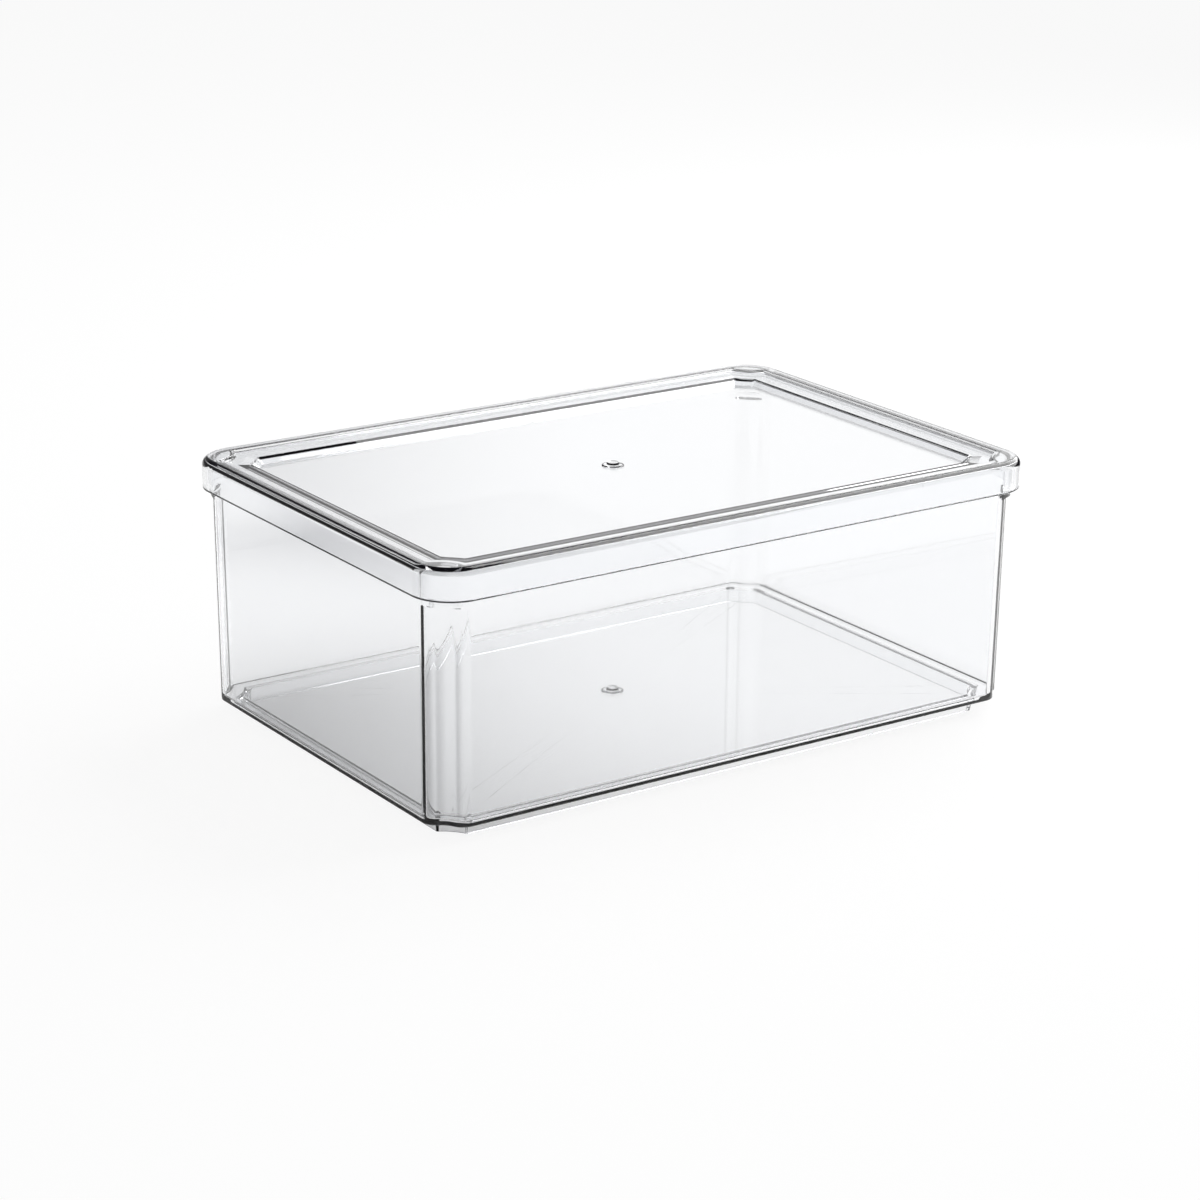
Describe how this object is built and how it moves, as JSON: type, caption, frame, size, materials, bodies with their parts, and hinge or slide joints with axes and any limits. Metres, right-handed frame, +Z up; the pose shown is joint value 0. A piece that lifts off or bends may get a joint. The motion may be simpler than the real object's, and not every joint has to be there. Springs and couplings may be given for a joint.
{
  "type": "lidded storage bin",
  "caption": "Clear rectangular fridge storage bin with fluted corners, a set-back stacking foot and a lift-off lid with a stepped, recessed top.",
  "frame": {"origin": "middle of the foot, on the surface that the bin stands on", "axes": "+X along the bin's length, +Y across its width, +Z up towards the lid"},
  "size_m": [0.32, 0.2154, 0.1216],
  "materials": {
    "clear_bin": "clear polished moulded plastic",
    "clear_lid": "clear polished moulded plastic"
  },
  "bodies": {
    "bin": {"bin": "clear_bin"},
    "lid": {"lid": "clear_lid"}
  },
  "joints": [
    {"name": "lid_lift", "type": "slide", "parent": "bin", "child": "lid", "axis": [0, 0, 1], "range_m": [0, 0.15]}
  ]
}
